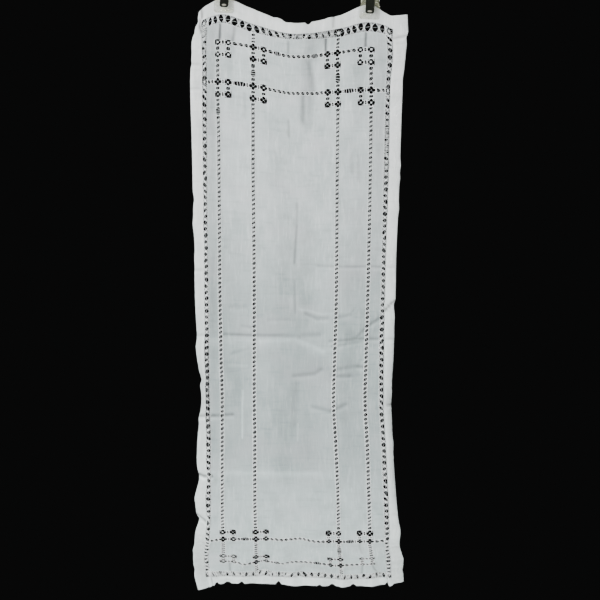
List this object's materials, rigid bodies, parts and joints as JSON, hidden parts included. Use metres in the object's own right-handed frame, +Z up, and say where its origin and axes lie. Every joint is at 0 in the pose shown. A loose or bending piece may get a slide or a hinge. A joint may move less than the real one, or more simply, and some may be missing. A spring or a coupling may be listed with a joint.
{
  "type": "drawn-thread table runner with two hanger clips",
  "caption": "Sheer white linen table runner with ladder lines, open squares and a gap border, hanging from two clear sprung clips.",
  "frame": {"origin": "on the line of the hanger's bar, halfway between the two clips", "axes": "+Z up, +X to the right as the runner is seen face on, -Y towards the viewer"},
  "size_m": [0.3895, 0.1371, 1.1017],
  "materials": {
    "white_linen": "fine sheer plain-weave linen, slubby, with open drawn-thread work",
    "clear_plastic": "clear moulded plastic, slightly yellowed",
    "dark_steel": "dark spring steel strip, glossy at its bends"
  },
  "bodies": {
    "root": {"runner_cloth": "white_linen", "left_clip_front_jaw": "clear_plastic", "left_clip_back_jaw": "clear_plastic", "left_clip_spring": "dark_steel", "right_clip_front_jaw": "clear_plastic", "right_clip_back_jaw": "clear_plastic", "right_clip_spring": "dark_steel"}
  },
  "joints": []
}
